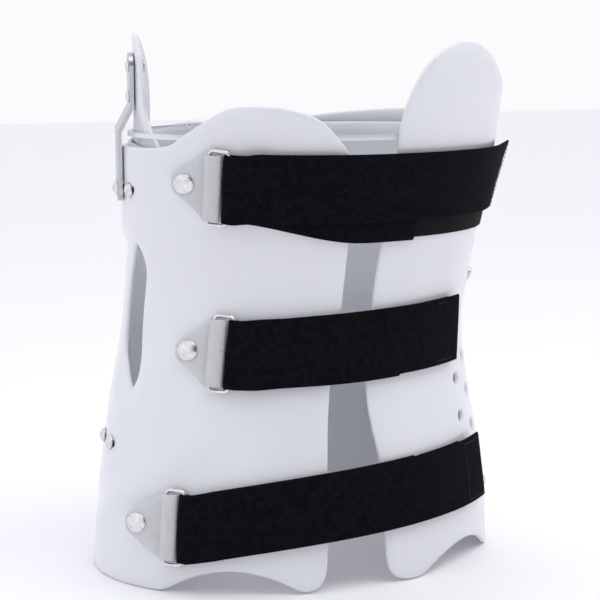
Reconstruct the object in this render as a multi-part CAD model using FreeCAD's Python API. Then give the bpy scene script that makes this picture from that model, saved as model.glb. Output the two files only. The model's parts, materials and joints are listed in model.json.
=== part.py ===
import FreeCAD, Part
import math
import os

os.makedirs("parts", exist_ok=True)
Vec = FreeCAD.Vector

# Every length is in millimetres and every angle in degrees.
# The wearer faces -Y, the wearer's right is -X, and the brace stands on its lower edge at z = 0.

# Overall size of the torso that the brace fits, as scales on the section table below.
body_height = 440.0
width_scale = 1.0
depth_scale = 1.0

# Torso sections: share of the height, half width, depth to the front, depth to the back, centre x, centre y.
torso = (
    (0.000, 158.0, 121.0, 113.0, 0.0, 0.0),
    (0.150, 152.5, 117.0, 110.0, 0.0, 0.0),
    (0.290, 142.3, 110.0, 105.0, -1.0, 0.0),
    (0.410, 134.3, 104.0, 101.0, 1.0, 0.0),
    (0.505, 136.0, 101.0, 99.0, 6.3, -1.0),
    (0.595, 140.0, 103.0, 100.0, 8.0, -5.0),
    (0.682, 144.5, 107.0, 102.0, 9.0, -11.0),
    (0.768, 146.6, 110.0, 102.0, 9.3, -16.0),
    (0.880, 150.0, 112.0, 101.0, 10.5, -20.0),
    (1.000, 152.0, 113.0, 100.0, 11.0, -22.0),
)

torso_rings = 19
origin_shift = Vec(-6.4, 10.8, 0.0)

shell_thickness = 4.0
shell_gap = 0.5
flex_line_x = 95.0
flex_gap = 0.8

strap_width = 50.0
strap_thickness = 2.0
strap_heights = {"upper": 297.0, "middle": 174.6, "lower": 48.5}
# Height that each strap gains towards the wearer's left, and the length it gains it over.
strap_rise = {"upper": (-3.0, 40.0), "middle": (12.0, 180.0), "lower": (26.0, 110.0)}
# Drop of the inner layer below the flap, and of the hook pad below the strap.
inner_sag = {"upper": 15.5, "middle": 2.0, "lower": 0.0}
pad_drop = {"upper": 14.5, "middle": 0.0, "lower": 0.0}
loop_angle = {"upper": -48.1, "middle": -44.2, "lower": -55.4}
strap_end = {"upper": 80.0, "middle": 40.5, "lower": 50.0}
# Lift of the free end off the side, at its lower and its upper corner.
strap_lift = {"upper": (4.0, 12.0), "middle": (0.0, 0.5), "lower": (0.4, 1.0)}
inner_end = {"upper": 14.0, "middle": 13.0, "lower": 16.0}
pad_span = {"upper": (14.6, 77.0), "middle": (22.0, 37.0), "lower": (19.0, 38.0)}
tab_reach = {"upper": 25.5, "middle": 25.5, "lower": 31.0}
tab_thickness = 2.0
tab_rivet_radius = 3.2

loop_wire = 1.4
loop_span = 14.0
loop_clear = 0.9

screw_radius = 2.5
screw_head_radius = 5.5
screw_head_height = 2.6
slot_length = 16.0

vent_radius = 5.8
vent_columns = ((45.0, (140.0, 110.5)), (56.0, (154.0, 127.0, 99.0)), (66.0, (144.0, 116.0)), (76.0, (154.0, 127.0)))

bar_width = 18.0
bar_thickness = 3.0
bar_angle = -101.0


def blend_rows(z):
    """Torso section values at a height, smooth from one table row to the next."""
    share = min(max(z / body_height, 0.0), 1.0)
    i = 0
    while i < len(torso) - 2 and share > torso[i + 1][0]:
        i += 1
    before = torso[max(i - 1, 0)]
    low = torso[i]
    high = torso[i + 1]
    after = torso[min(i + 2, len(torso) - 1)]
    span = high[0] - low[0]
    s = (share - low[0]) / span
    values = []
    for k in range(1, 6):
        slope_low = (high[k] - before[k]) / (high[0] - before[0]) * span
        slope_high = (after[k] - low[k]) / (after[0] - low[0]) * span
        h00 = 2 * s ** 3 - 3 * s ** 2 + 1
        h10 = s ** 3 - 2 * s ** 2 + s
        h01 = -2 * s ** 3 + 3 * s ** 2
        h11 = s ** 3 - s ** 2
        values.append(h00 * low[k] + h10 * slope_low + h01 * high[k] + h11 * slope_high)
    half_width, front, back, cx, cy = values
    return half_width * width_scale, front * depth_scale, back * depth_scale, cx, cy


def skin(t, z, offset):
    """Point on the torso surface, t degrees from the front towards the wearer's left, moved outward."""
    half_width, front, back, cx, cy = blend_rows(z)
    depth = front if math.cos(math.radians(t)) > 0 else back
    x = cx + (half_width + offset) * math.sin(math.radians(t))
    y = cy - (depth + offset) * math.cos(math.radians(t))
    return Vec(x, y, z)


def torso_solid(offset):
    """Solid torso, moved outward by the offset, from the floor to the full height."""
    rings = []
    for k in range(torso_rings):
        z = body_height * k / (torso_rings - 1)
        points = [skin(t, z, offset) for t in range(0, 360, 15)]
        curve = Part.BSplineCurve()
        curve.interpolate(Points=points, PeriodicFlag=True)
        rings.append(Part.Wire([curve.toShape()]))
    return Part.makeLoft(rings, True, False)


def wire_of(points, smooth):
    if smooth:
        curve = Part.BSplineCurve()
        curve.interpolate(Points=points, PeriodicFlag=True)
        return Part.Wire([curve.toShape()])
    return Part.makePolygon(points + [points[0]])


def prism_y(outline, y_low, y_high, smooth=False):
    """Outline in x and z, extruded along Y."""
    points = [Vec(x, y_low, z) for x, z in outline]
    return Part.Face(wire_of(points, smooth)).extrude(Vec(0, y_high - y_low, 0))


def prism_x(outline, x_low, x_high, smooth=False):
    """Outline in y and z, extruded along X."""
    points = [Vec(x_low, y, z) for y, z in outline]
    return Part.Face(wire_of(points, smooth)).extrude(Vec(x_high - x_low, 0, 0))


def curve_prism_y(curve_points, corners, y_low, y_high):
    """A smooth edge curve closed by straight lines through the corners, extruded along Y."""
    curve = Part.BSplineCurve()
    curve.interpolate(Points=[Vec(x, y_low, z) for x, z in curve_points])
    edges = [curve.toShape()]
    path = [curve_points[-1]] + list(corners) + [curve_points[0]]
    for a, b in zip(path[:-1], path[1:]):
        edges.append(Part.makeLine(Vec(a[0], y_low, a[1]), Vec(b[0], y_low, b[1])))
    return Part.Face(Part.Wire(edges)).extrude(Vec(0, y_high - y_low, 0))


def local_frame(t, z, half_height=25.0):
    """Place on the torso surface: u towards the wearer's left, v up along the surface, n outward."""
    v = skin(t, z + half_height, 0) - skin(t, z - half_height, 0)
    v.normalize()
    u = skin(t + 1, z, 0) - skin(t - 1, z, 0)
    n = u.cross(v)
    n.normalize()
    u = v.cross(n)
    u.normalize()
    if n.dot(skin(t, z, 10) - skin(t, z, 0)) < 0:
        n = n * -1
        u = u * -1
    return skin(t, z, 0), u, v, n


def place(shape, frame):
    """Moves a shape built in u, v, n to its frame."""
    o, u, v, n = frame
    m = FreeCAD.Matrix(u.x, v.x, n.x, o.x, u.y, v.y, n.y, o.y, u.z, v.z, n.z, o.z, 0, 0, 0, 1)
    moved = shape.copy()
    moved.Placement = FreeCAD.Placement(m)
    return moved


def to_local(point, frame):
    o, u, v, n = frame
    d = point - o
    return Vec(d.dot(u), d.dot(v), d.dot(n))


def surface_span(frame, t, z, u_low, u_high, v_half, offset):
    """Lowest and highest n of the surface with that offset under a rectangle in the frame."""
    low = 1e9
    high = -1e9
    for dt in range(-60, 61):
        for k in range(-4, 5):
            p = to_local(skin(t + dt / 2.0, z + k * v_half / 4.0, offset), frame)
            if u_low - 1.5 <= p.x <= u_high + 1.5:
                low = min(low, p.z)
                high = max(high, p.z)
    return low, high


def band(stations):
    """Solid through rectangular stations, each four corners in order."""
    wires = [Part.makePolygon(list(corners) + [corners[0]]) for corners in stations]
    return Part.makeLoft(wires, True, False)


def cylinder_n(frame, u, v, n_low, n_high, radius):
    return place(Part.makeCylinder(radius, n_high - n_low, Vec(u, v, n_low)), frame)


def save(name, shapes):
    """One node: a single solid, or a group of separate ones."""
    solids = []
    for shape in shapes:
        solids += shape.Solids
    shape = solids[0] if len(solids) == 1 else Part.Compound(solids)
    shape = shape.translated(origin_shift)
    shape.exportStep("parts/" + name + ".step")
    print(name, len(solids), round(shape.Volume / 1000.0, 2), shape.isValid())


# Shells. Front shells lie outside, the back shell and its two wings lie inside them.
back_inner = -shell_gap - shell_thickness
core = torso_solid(0.0)
front_ring = torso_solid(shell_thickness).cut(core)
back_outer = torso_solid(-shell_gap)
back_ring = back_outer.cut(torso_solid(back_inner))

front_height = body_height / 440.0
right_edge = [(-50.0, 0.0), (-38.0, 3.0), (-32.0, 13.0), (-30.0, 40.0), (-28.5, 90.0), (-24.0, 146.0), (-12.0, 206.0)]
right_edge += [(-8.5, 254.0), (-10.5, 290.0), (-14.8, 316.5), (-20.2, 325.0), (-39.4, 344.0), (-62.0, 352.0)]
right_edge += [(-81.0, 353.5), (-98.6, 351.0), (-118.5, 333.0), (-129.4, 323.0), (-175.0, 319.0)]
right_edge = [(x, z * front_height) for x, z in right_edge]
left_edge = [(38.0, 0.0), (25.0, 3.0), (17.0, 13.0), (14.0, 45.0), (12.2, 92.0), (7.7, 116.0), (4.6, 147.0)]
left_edge += [(12.3, 205.0), (17.8, 255.0), (20.4, 315.0), (23.0, 345.0), (31.7, 367.5), (46.0, 386.0)]
left_edge += [(68.0, 397.0), (93.0, 396.0), (118.0, 382.0), (136.0, 366.0), (152.0, 355.0), (180.0, 351.0)]
left_edge = [(x, z * front_height) for x, z in left_edge]

right_front_shell = front_ring.common(curve_prism_y(right_edge, [(-175.0, -5.0), (-50.0, -5.0)], -170.0, 56.0))
left_front_shell = front_ring.common(curve_prism_y(left_edge, [(180.0, -5.0), (38.0, -5.0)], -170.0, 6.0))

# Arches over the thighs in the lower front edge.
arch_angle = 46.0
arch = [(-66.0, -8.0), (-50.0, 0.0), (-26.0, 13.0), (0.0, 18.0), (26.0, 13.0), (50.0, 0.0), (66.0, -8.0)]
arch_cutter = prism_y(arch, -220.0, -20.0, True)
right_front_shell = right_front_shell.cut(arch_cutter.rotated(Vec(0, 0, 0), Vec(0, 0, 1), -arch_angle))
left_front_shell = left_front_shell.cut(arch_cutter.rotated(Vec(0, 0, 0), Vec(0, 0, 1), arch_angle))

# Window in the wearer's right side.
window = [(-11, 252), (-17, 246), (-21, 236), (-21.5, 228), (-19, 205), (-20, 184), (-23, 162), (-22, 150)]
window += [(-17, 141.5), (-10, 147), (-2, 158), (5, 167), (9, 179), (10, 200), (6, 222), (0, 236), (-5, 246)]
window = [(y, z * front_height) for y, z in window]
right_front_shell = right_front_shell.cut(prism_x(window, -200.0, -80.0, True))

# Back shell and wings, split at the flex lines.
back_top = [(-180.0, 319.0), (-120.0, 326.0), (-60.0, 334.0), (0.0, 330.0), (60.0, 337.0), (120.0, 342.0), (180.0, 344.0)]
back_top = [(x, z * front_height) for x, z in back_top]
back_zone = curve_prism_y(back_top, [(180.0, -5.0), (-180.0, -5.0)], -60.0, 140.0)
back_all = back_ring.common(back_zone)
seat_arch = [(-70.0, -8.0), (-52.0, 0.0), (-28.0, 16.0), (0.0, 22.0), (28.0, 16.0), (52.0, 0.0), (70.0, -8.0)]
middle_zone = Part.makeBox(2 * flex_line_x, 140.0, 460.0, Vec(-flex_line_x, 0.0, -5.0))
back_shell = back_all.common(middle_zone).cut(prism_y(seat_arch, 0.0, 140.0, True))

ear_low = 74.0 * front_height
ear_high = 124.0 * front_height
ear2_low = 264.0 * front_height
right_wing_side = [(-28.0, ear_low), (-28.0, ear_high), (22.0, ear_high + 8.0), (22.0, ear2_low - 6.0), (-28.0, ear2_low)]
right_wing_side += [(-28.0, 500.0), (150.0, 500.0), (150.0, -5.0), (10.0, -5.0)]
left_wing_side = [(-54.0, 24.0), (-54.0, 70.0), (-12.0, 80.0), (-12.0, 188.0), (-54.0, 198.0), (-54.0, 238.0)]
left_wing_side += [(-12.0, 252.0), (-12.0, 500.0), (150.0, 500.0), (150.0, -5.0), (-12.0, -5.0)]
left_wing_side = [(y, z * front_height if z < 450 else z) for y, z in left_wing_side]
wing_x = flex_line_x + flex_gap
right_back_wing = back_all.common(prism_x(right_wing_side, -220.0, -wing_x))
left_back_wing = back_all.common(prism_x(left_wing_side, wing_x, 220.0))

# Underarm shell inside the right wing, carried by a metal bar.
underarm_offset = -2 * shell_gap - shell_thickness
underarm_ring = torso_solid(underarm_offset).cut(torso_solid(underarm_offset - shell_thickness))
underarm_side = [(-37, 280), (-42, 305), (-38, 322), (-29, 334.5), (-22, 349), (-21.5, 367), (-16, 388), (-2, 401)]
underarm_side += [(16, 403), (32, 390), (41, 366), (45, 332), (43, 298), (32, 272), (6, 267), (-20, 269)]
underarm_side = [(y, z * front_height) for y, z in underarm_side]
underarm_shell = underarm_ring.common(prism_x(underarm_side, -220.0, -60.0, True))

# Screw places: node, angle from the front, height, and whether the bar lies under its head.
screw_pairs = {
    "right_upper": ((-90.0, 290.0, False), (bar_angle, 290.0, True)),
    "right_lower": ((-91.5, 99.0, False), (-102.5, 100.0, False)),
    "left_upper": ((69.0, 216.0, False), (80.0, 216.0, False)),
    "left_lower": ((70.0, 46.0, False), (80.5, 46.0, False)),
}
bar_clear = 0.8
bar_frame = local_frame(bar_angle, 328.0 * front_height, 45.0)
bar_low = -48.0
bar_high = 62.0
outer_line = surface_span(bar_frame, bar_angle, 300.0 * front_height, -9.0, 9.0, 30.0, shell_thickness)[1] + bar_clear
fasteners = {}
bar_cutters = []
for pair, places in screw_pairs.items():
    screws = []
    nuts = []
    for t, z, under_bar in places:
        z = z * front_height
        frame = local_frame(t, z, 8.0)
        high = surface_span(frame, t, z, -5.5, 5.5, 5.5, shell_thickness)[1] + 0.1
        if under_bar:
            rise_v = (z - bar_frame[0].z) / bar_frame[2].z
            frame = (bar_frame[0] + bar_frame[2] * rise_v,) + bar_frame[1:]
            high = outer_line + bar_thickness + 0.1
        inner_offset = back_inner
        if pair == "right_upper":
            inner_offset = underarm_offset - shell_thickness
        low = surface_span(frame, t, z, -5.5, 5.5, 5.5, inner_offset)[0] - 0.15
        head = Part.makeCylinder(screw_head_radius, 1.0, Vec(0, 0, high))
        dome = Part.makeSphere(7.0, Vec(0, 0, high + 1.0 - 4.33))
        dome = dome.common(Part.makeCylinder(screw_head_radius, 6.0, Vec(0, 0, high + 1.0)))
        shank = Part.makeCylinder(screw_radius, high - low + 0.1, Vec(0, 0, low))
        drive = Part.makeCylinder(1.6, 4.0, Vec(0, 0, high + 1.6))
        screws.append(place(head.fuse([dome, shank]).removeSplitter().cut(drive), frame))
        flange = Part.makeCylinder(5.5, 1.2, Vec(0, 0, low - 1.2))
        sleeve = Part.makeCylinder(screw_radius + 1.0, 3.0, Vec(0, 0, low - 1.2 + 0.6))
        thread = Part.makeCylinder(screw_radius + 0.05, 9.0, Vec(0, 0, low))
        nuts.append(place(flange.fuse(sleeve).cut(thread), frame))
        slot_width = screw_radius + 1.2
        half = slot_length / 2.0 - slot_width
        slot = Part.makeBox(2 * half, 2 * slot_width, 14.0, Vec(-half, -slot_width, -3.0))
        slot = slot.fuse([
            Part.makeCylinder(slot_width, 14.0, Vec(-half, 0, -3.0)),
            Part.makeCylinder(slot_width, 14.0, Vec(half, 0, -3.0)),
        ]).removeSplitter()
        hole = cylinder_n(frame, 0, 0, -22.0, 14.0, screw_radius + 1.2)
        if pair.startswith("right"):
            right_front_shell = right_front_shell.cut(place(slot, frame))
            right_back_wing = right_back_wing.cut(hole)
            underarm_shell = underarm_shell.cut(hole)
        else:
            left_front_shell = left_front_shell.cut(place(slot, frame))
            left_back_wing = left_back_wing.cut(hole)
        if under_bar:
            bar_cutters.append(cylinder_n(frame, 0, 0, -4.0, 14.0, screw_radius + 0.4))
    fasteners[pair + "_screws"] = screws
    fasteners[pair + "_nuts"] = nuts

# Vent holes in the wearer's left side.
for t, heights in vent_columns:
    for z in heights:
        frame = local_frame(t, z * front_height, 8.0)
        left_front_shell = left_front_shell.cut(cylinder_n(frame, 0, 0, -12.0, 12.0, vent_radius))

# Underarm bar: straight outside the shell, stepped in to the underarm shell above it.
step_top = 24.0
inner_line = surface_span(bar_frame, bar_angle, 372.0 * front_height, -9.0, 9.0, 26.0, underarm_offset)[1] + 0.6
profile = [
    (bar_low, outer_line),
    (bar_low, outer_line + bar_thickness),
    (6.0, outer_line + bar_thickness),
    (step_top, inner_line + bar_thickness),
    (bar_high, inner_line + bar_thickness),
    (bar_high, inner_line),
    (step_top - 1.5, inner_line),
    (4.5, outer_line),
]
bar_face = Part.Face(Part.makePolygon([Vec(-bar_width / 2, v, n) for v, n in profile + profile[:1]]))
bar = bar_face.extrude(Vec(bar_width, 0, 0))
round_off = Part.makeBox(bar_width, bar_high - bar_low - bar_width, 40.0, Vec(-bar_width / 2, bar_low + bar_width / 2, -20.0))
round_off = round_off.fuse([
    Part.makeCylinder(bar_width / 2, 40.0, Vec(0, bar_low + bar_width / 2, -20.0)),
    Part.makeCylinder(bar_width / 2, 40.0, Vec(0, bar_high - bar_width / 2, -20.0)),
])
bar = place(bar.common(round_off), bar_frame)
for cutter in bar_cutters:
    bar = bar.cut(cutter)
bar_screws = []
bar_nuts = []
for v in (bar_high - 10.0, bar_high - 32.0):
    head_base = inner_line + bar_thickness + 0.1
    tail = inner_line - 0.6 - shell_thickness - 3.4
    head = Part.makeCone(4.6, 3.2, 2.0, Vec(0, v, head_base))
    drive = Part.makeBox(9.4, 1.0, 1.2, Vec(-4.7, v - 0.5, head_base + 1.2))
    shank = Part.makeCylinder(2.0, head_base - tail + 0.1, Vec(0, v, tail))
    bar_screws.append(place(head.fuse(shank).cut(drive), bar_frame))
    flange = Part.makeCylinder(5.0, 1.4, Vec(0, v, tail - 1.0)).cut(Part.makeCylinder(2.05, 9.0, Vec(0, v, tail)))
    bar_nuts.append(place(flange, bar_frame))
    through = cylinder_n(bar_frame, 0, v, -40.0, 30.0, 2.4)
    bar = bar.cut(through)
    underarm_shell = underarm_shell.cut(through)

# Loops, tabs and straps, one set for each strap.
for name in ("upper", "middle", "lower"):
    z_loop = strap_heights[name] * front_height
    t_loop = loop_angle[name]
    reach = tab_reach[name]
    frame = local_frame(t_loop, z_loop, strap_width / 2)
    half = strap_width / 2
    top = surface_span(frame, t_loop, z_loop, -reach - 9.0, loop_span, half + 4.0, shell_thickness)[1]
    floor_n = top + 0.4
    axis_n = floor_n + tab_thickness + loop_wire + 0.35
    roll_inner = loop_wire + 0.35
    roll_outer = roll_inner + tab_thickness
    rear_u = -loop_span / 2
    front_u = loop_span / 2
    rise = half + loop_clear + loop_wire

    # Loop: two long wires along v, two short ones, rounded where they meet.
    corner = 3.0
    edges = []
    hu = front_u - corner
    hv = rise - corner
    edges.append(Part.makeLine(Vec(front_u, -hv, axis_n), Vec(front_u, hv, axis_n)))
    mid = corner * math.sqrt(0.5)
    edges.append(Part.Arc(Vec(front_u, hv, axis_n), Vec(hu + mid, hv + mid, axis_n), Vec(hu, rise, axis_n)).toShape())
    edges.append(Part.makeLine(Vec(hu, rise, axis_n), Vec(-hu, rise, axis_n)))
    edges.append(Part.Arc(Vec(-hu, rise, axis_n), Vec(-hu - mid, hv + mid, axis_n), Vec(rear_u, hv, axis_n)).toShape())
    edges.append(Part.makeLine(Vec(rear_u, hv, axis_n), Vec(rear_u, -hv, axis_n)))
    edges.append(Part.Arc(Vec(rear_u, -hv, axis_n), Vec(-hu - mid, -hv - mid, axis_n), Vec(-hu, -rise, axis_n)).toShape())
    edges.append(Part.makeLine(Vec(-hu, -rise, axis_n), Vec(hu, -rise, axis_n)))
    edges.append(Part.Arc(Vec(hu, -rise, axis_n), Vec(hu + mid, -hv - mid, axis_n), Vec(front_u, -hv, axis_n)).toShape())
    ring_path = Part.Wire(edges)
    ring_section = Part.Wire([Part.makeCircle(loop_wire, Vec(front_u, -hv, axis_n), Vec(0, 1, 0))])
    loop = ring_path.makePipeShell([ring_section], True, False)
    save("strap_" + name + "_loop", [place(loop, frame)])

    # Tab: plate from the rivet, widening to a roll round the rear wire.
    roll_half = half - 0.5
    rivet_u = -reach
    plate_top = floor_n + tab_thickness
    outline = [Vec(rear_u, roll_half, floor_n), Vec(rear_u - 4.0, roll_half, floor_n)]
    outline += [Vec(rivet_u - 4.0, 9.5, floor_n), Vec(rivet_u - 8.5, 5.0, floor_n), Vec(rivet_u - 8.5, -5.0, floor_n)]
    outline += [Vec(rivet_u - 4.0, -9.5, floor_n), Vec(rear_u - 4.0, -roll_half, floor_n), Vec(rear_u, -roll_half, floor_n)]
    plate = Part.Face(Part.makePolygon(outline + outline[:1])).extrude(Vec(0, 0, tab_thickness))
    roll = Part.makeCylinder(roll_outer, 2 * roll_half, Vec(rear_u, -roll_half, axis_n), Vec(0, 1, 0))
    bore = Part.makeCylinder(roll_inner, 2 * roll_half + 2, Vec(rear_u, -roll_half - 1, axis_n), Vec(0, 1, 0))
    rivet_hole = Part.makeCylinder(tab_rivet_radius + 0.3, 20.0, Vec(rivet_u, 0, floor_n - 12.0))
    tab = plate.fuse(roll).cut([bore, rivet_hole])
    save("strap_" + name + "_tab", [place(tab, frame)])

    # Rivet: domed washer head outside, shank through tab and shell, burr inside.
    shell_drop = surface_span(frame, t_loop, z_loop, rivet_u - 5.0, rivet_u + 5.0, 6.0, 0.0)[0]
    washer = Part.makeCylinder(7.5, 0.9, Vec(rivet_u, 0, plate_top + 0.1))
    cap = Part.makeSphere(17.1, Vec(rivet_u, 0, plate_top + 2.5 - 17.1))
    cap = cap.common(Part.makeCylinder(7.0, 6.0, Vec(rivet_u, 0, plate_top + 0.9)))
    shank_low = shell_drop - 1.2 - 0.15
    shank = Part.makeCylinder(tab_rivet_radius, plate_top + 0.5 - shank_low, Vec(rivet_u, 0, shank_low))
    burr = Part.makeCylinder(6.0, 1.2, Vec(rivet_u, 0, shank_low))
    save("strap_" + name + "_rivet", [place(washer.fuse([cap, shank, burr]), frame)])
    right_front_shell = right_front_shell.cut(cylinder_n(frame, rivet_u, 0, shell_drop - 14, floor_n + 2, tab_rivet_radius + 0.3))

    # Strap fold and inner layer. Heights of its middle rise towards the wearer's left.
    fold_inner = loop_wire + 0.4
    fold_outer = fold_inner + strap_thickness
    fold = Part.makeCylinder(fold_outer, 2 * half, Vec(front_u, -half, axis_n), Vec(0, 1, 0))
    fold = fold.cut(Part.makeCylinder(fold_inner, 2 * half + 2, Vec(front_u, -half - 1, axis_n), Vec(0, 1, 0)))
    fold = fold.cut(Part.makeBox(20.0, 2 * half + 2, 40.0, Vec(front_u, -half - 1, axis_n - 20.0)))
    low_n = axis_n - fold_outer
    high_n = axis_n + fold_inner

    gain, gain_length = strap_rise[name]

    def along_strap(t):
        arc = skin(t, z_loop, 0) - skin(t_loop, z_loop, 0)
        return math.hypot(arc.x, arc.y)

    def strap_point(t, side, offset, drop=0.0):
        """Point on a strap layer, side -1 at its lower edge and +1 at its upper edge."""
        run = max(0.0, along_strap(t) - 12.0)
        z_mid = z_loop + gain * (1.0 - math.exp(-run / gain_length)) - drop
        return skin(t, z_mid + side * half, offset)

    def sag_at(t):
        """Drop of the inner layer, growing over the first hundred millimetres from the fold."""
        s = min(max((along_strap(t) - 8.0) / 100.0, 0.0), 1.0)
        return inner_sag[name] * s * s * (3.0 - 2.0 * s)

    def fold_point(u, side, n):
        o, du, dv, dn = frame
        return o + du * u + dv * (side * half) + dn * n

    def layer(u_start, n_start, t_values, offset_at, thickness, drop_at):
        stations = []
        for u in (u_start, u_start + 5.0):
            stations.append([
                fold_point(u, -1, n_start), fold_point(u, 1, n_start),
                fold_point(u, 1, n_start + thickness), fold_point(u, -1, n_start + thickness),
            ])
        for t in t_values:
            low_d = offset_at(t, -1)
            high_d = offset_at(t, 1)
            drop = drop_at(t)
            stations.append([
                strap_point(t, -1, low_d, drop), strap_point(t, 1, high_d, drop),
                strap_point(t, 1, high_d + thickness, drop), strap_point(t, -1, low_d + thickness, drop),
            ])
        return band(stations)

    rest_d = shell_thickness + 1.6
    t_inner = [t_loop + 12.0]
    while t_inner[-1] + 8.0 < inner_end[name]:
        t_inner.append(t_inner[-1] + 8.0)
    t_inner.append(inner_end[name])
    inner = layer(front_u, low_n, t_inner, lambda t, side: rest_d, strap_thickness, sag_at)
    save("strap_" + name, [place(fold, frame).fuse(inner)])

    outer_d = rest_d + strap_thickness + 0.8

    def flap_offset(t, side):
        """Offset of the flap's inner face: down from the fold, then level, then off the side at its end."""
        ease = min(max((t - t_loop - 10.0) / 16.0, 0.0), 1.0)
        d = outer_d + 3.4 * (1 - ease) ** 2
        tail = max(0.0, (t - strap_end[name] + 22.0) / 22.0)
        lift_low, lift_high = strap_lift[name]
        return d + (lift_low + (lift_high - lift_low) * (side + 1.0) / 2.0) * tail ** 2

    patch_t = [strap_end[name] - 12.0, strap_end[name] - 8.0, strap_end[name] - 4.5, strap_end[name] - 1.0]
    t_flap = [t_loop + 12.0]
    while t_flap[-1] + 8.0 < patch_t[0]:
        t_flap.append(t_flap[-1] + 7.0)
    t_flap += patch_t + [strap_end[name]]
    flap = layer(front_u + 0.5, high_n, t_flap, flap_offset, strap_thickness, lambda t: 0.0)
    save("strap_" + name + "_flap", [flap])

    # Hook patch under the flap's free end, and hook pad with its rivets on the left shell.
    patch = band([[
        strap_point(t, -0.92, flap_offset(t, -0.92) - 1.4), strap_point(t, 0.92, flap_offset(t, 0.92) - 1.4),
        strap_point(t, 0.92, flap_offset(t, 0.92) - 0.4), strap_point(t, -0.92, flap_offset(t, -0.92) - 0.4),
    ] for t in patch_t])
    save("strap_" + name + "_hook", [patch])

    pad_low_t, pad_high_t = pad_span[name]
    pad_steps = int((pad_high_t - pad_low_t) / 5.0)
    pad_t = [pad_low_t + (pad_high_t - pad_low_t) * k / pad_steps for k in range(pad_steps + 1)]
    pad_top = shell_thickness + 1.9
    drop = pad_drop[name]
    pad = band([[
        strap_point(t, -0.96, pad_top - 1.0, drop), strap_point(t, 0.96, pad_top - 1.0, drop),
        strap_point(t, 0.96, pad_top, drop), strap_point(t, -0.96, pad_top, drop),
    ] for t in pad_t])
    pad_rivets = []
    for t in (pad_low_t + 4.0, pad_high_t - 4.0):
        z_pad = (strap_point(t, 1, 0, drop).z + strap_point(t, -1, 0, drop).z) / 2
        rivet_frame = local_frame(t, z_pad, 8.0)
        pad_chord = (strap_point(t, 0.96, pad_top, drop) + strap_point(t, -0.96, pad_top, drop)) / 2
        head_n = to_local(pad_chord, rivet_frame).z
        head_n = max(head_n, pad_top) + 0.12
        tail_n = surface_span(rivet_frame, t, z_pad, -3.0, 3.0, 4.0, 0.0)[0] - 0.1
        head = Part.makeCylinder(4.0, 0.7, Vec(0, 0, head_n))
        stem = Part.makeCylinder(1.8, head_n - tail_n + 0.8, Vec(0, 0, tail_n - 0.5))
        tail = Part.makeCylinder(4.0, 0.9, Vec(0, 0, tail_n - 0.9))
        pad_rivets.append(place(head.fuse([stem, tail]), rivet_frame))
        through = cylinder_n(rivet_frame, 0, 0, -10.0, 14.0, 2.1)
        pad = pad.cut(through)
        left_front_shell = left_front_shell.cut(through)
    save("pad_" + name, [pad])
    save("pad_" + name + "_rivets", pad_rivets)
    start = frame[0] + origin_shift
    rear = start + frame[1] * rear_u + frame[3] * axis_n
    front = start + frame[1] * front_u + frame[3] * axis_n
    peel = start + frame[1] * (front_u + 0.25) + frame[3] * (high_n + strap_thickness + 0.05)
    print(name, "axis", frame[2], "loop", rear, "swing", front, "peel", peel)

save("back_shell", [back_shell])
save("right_back_wing", [right_back_wing])
save("left_back_wing", [left_back_wing])
save("right_front_shell", [right_front_shell])
save("left_front_shell", [left_front_shell])
save("underarm_shell", [underarm_shell])
save("underarm_bar", [bar])
save("underarm_bar_screws", bar_screws)
save("underarm_bar_nuts", bar_nuts)
for node, shapes in fasteners.items():
    save(node, shapes)
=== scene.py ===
import bpy
import bmesh
import json
import math
from mathutils import Vector, Matrix, geometry, kdtree, noise


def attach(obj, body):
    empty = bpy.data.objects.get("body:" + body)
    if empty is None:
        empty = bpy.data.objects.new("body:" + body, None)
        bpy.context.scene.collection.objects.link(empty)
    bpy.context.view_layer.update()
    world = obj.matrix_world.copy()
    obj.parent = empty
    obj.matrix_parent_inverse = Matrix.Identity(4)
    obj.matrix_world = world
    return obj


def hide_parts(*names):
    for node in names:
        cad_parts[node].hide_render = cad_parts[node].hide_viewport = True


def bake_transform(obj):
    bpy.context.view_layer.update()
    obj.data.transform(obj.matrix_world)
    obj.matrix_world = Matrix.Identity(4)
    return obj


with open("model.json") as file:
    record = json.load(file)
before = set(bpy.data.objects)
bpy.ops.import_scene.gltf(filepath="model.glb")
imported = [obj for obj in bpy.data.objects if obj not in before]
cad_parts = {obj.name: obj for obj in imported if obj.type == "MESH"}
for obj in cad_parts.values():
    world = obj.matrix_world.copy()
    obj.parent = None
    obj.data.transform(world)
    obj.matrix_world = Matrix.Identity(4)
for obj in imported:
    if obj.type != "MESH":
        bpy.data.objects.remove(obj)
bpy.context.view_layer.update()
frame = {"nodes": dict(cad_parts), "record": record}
print("stage: frame loaded")

# torso form
torso = {
    "height": 0.44,
    "rows": [  # share of height, half width, front depth, back depth, centre x, centre y (mm)
        (0.000, 158.0, 121.0, 113.0, 0.0, 0.0), (0.150, 152.5, 117.0, 110.0, 0.0, 0.0),
        (0.290, 142.3, 110.0, 105.0, -1.0, 0.0), (0.410, 134.3, 104.0, 101.0, 1.0, 0.0),
        (0.505, 136.0, 101.0, 99.0, 6.3, -1.0), (0.595, 140.0, 103.0, 100.0, 8.0, -5.0),
        (0.682, 144.5, 107.0, 102.0, 9.0, -11.0), (0.768, 146.6, 110.0, 102.0, 9.3, -16.0),
        (0.880, 150.0, 112.0, 101.0, 10.5, -20.0), (1.000, 152.0, 113.0, 100.0, 11.0, -22.0)],
    "metric": 0.13,   # metres of arc per radian, used to lay outlines out flat
}
shiftX, shiftY = -0.0064, 0.0108


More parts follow.
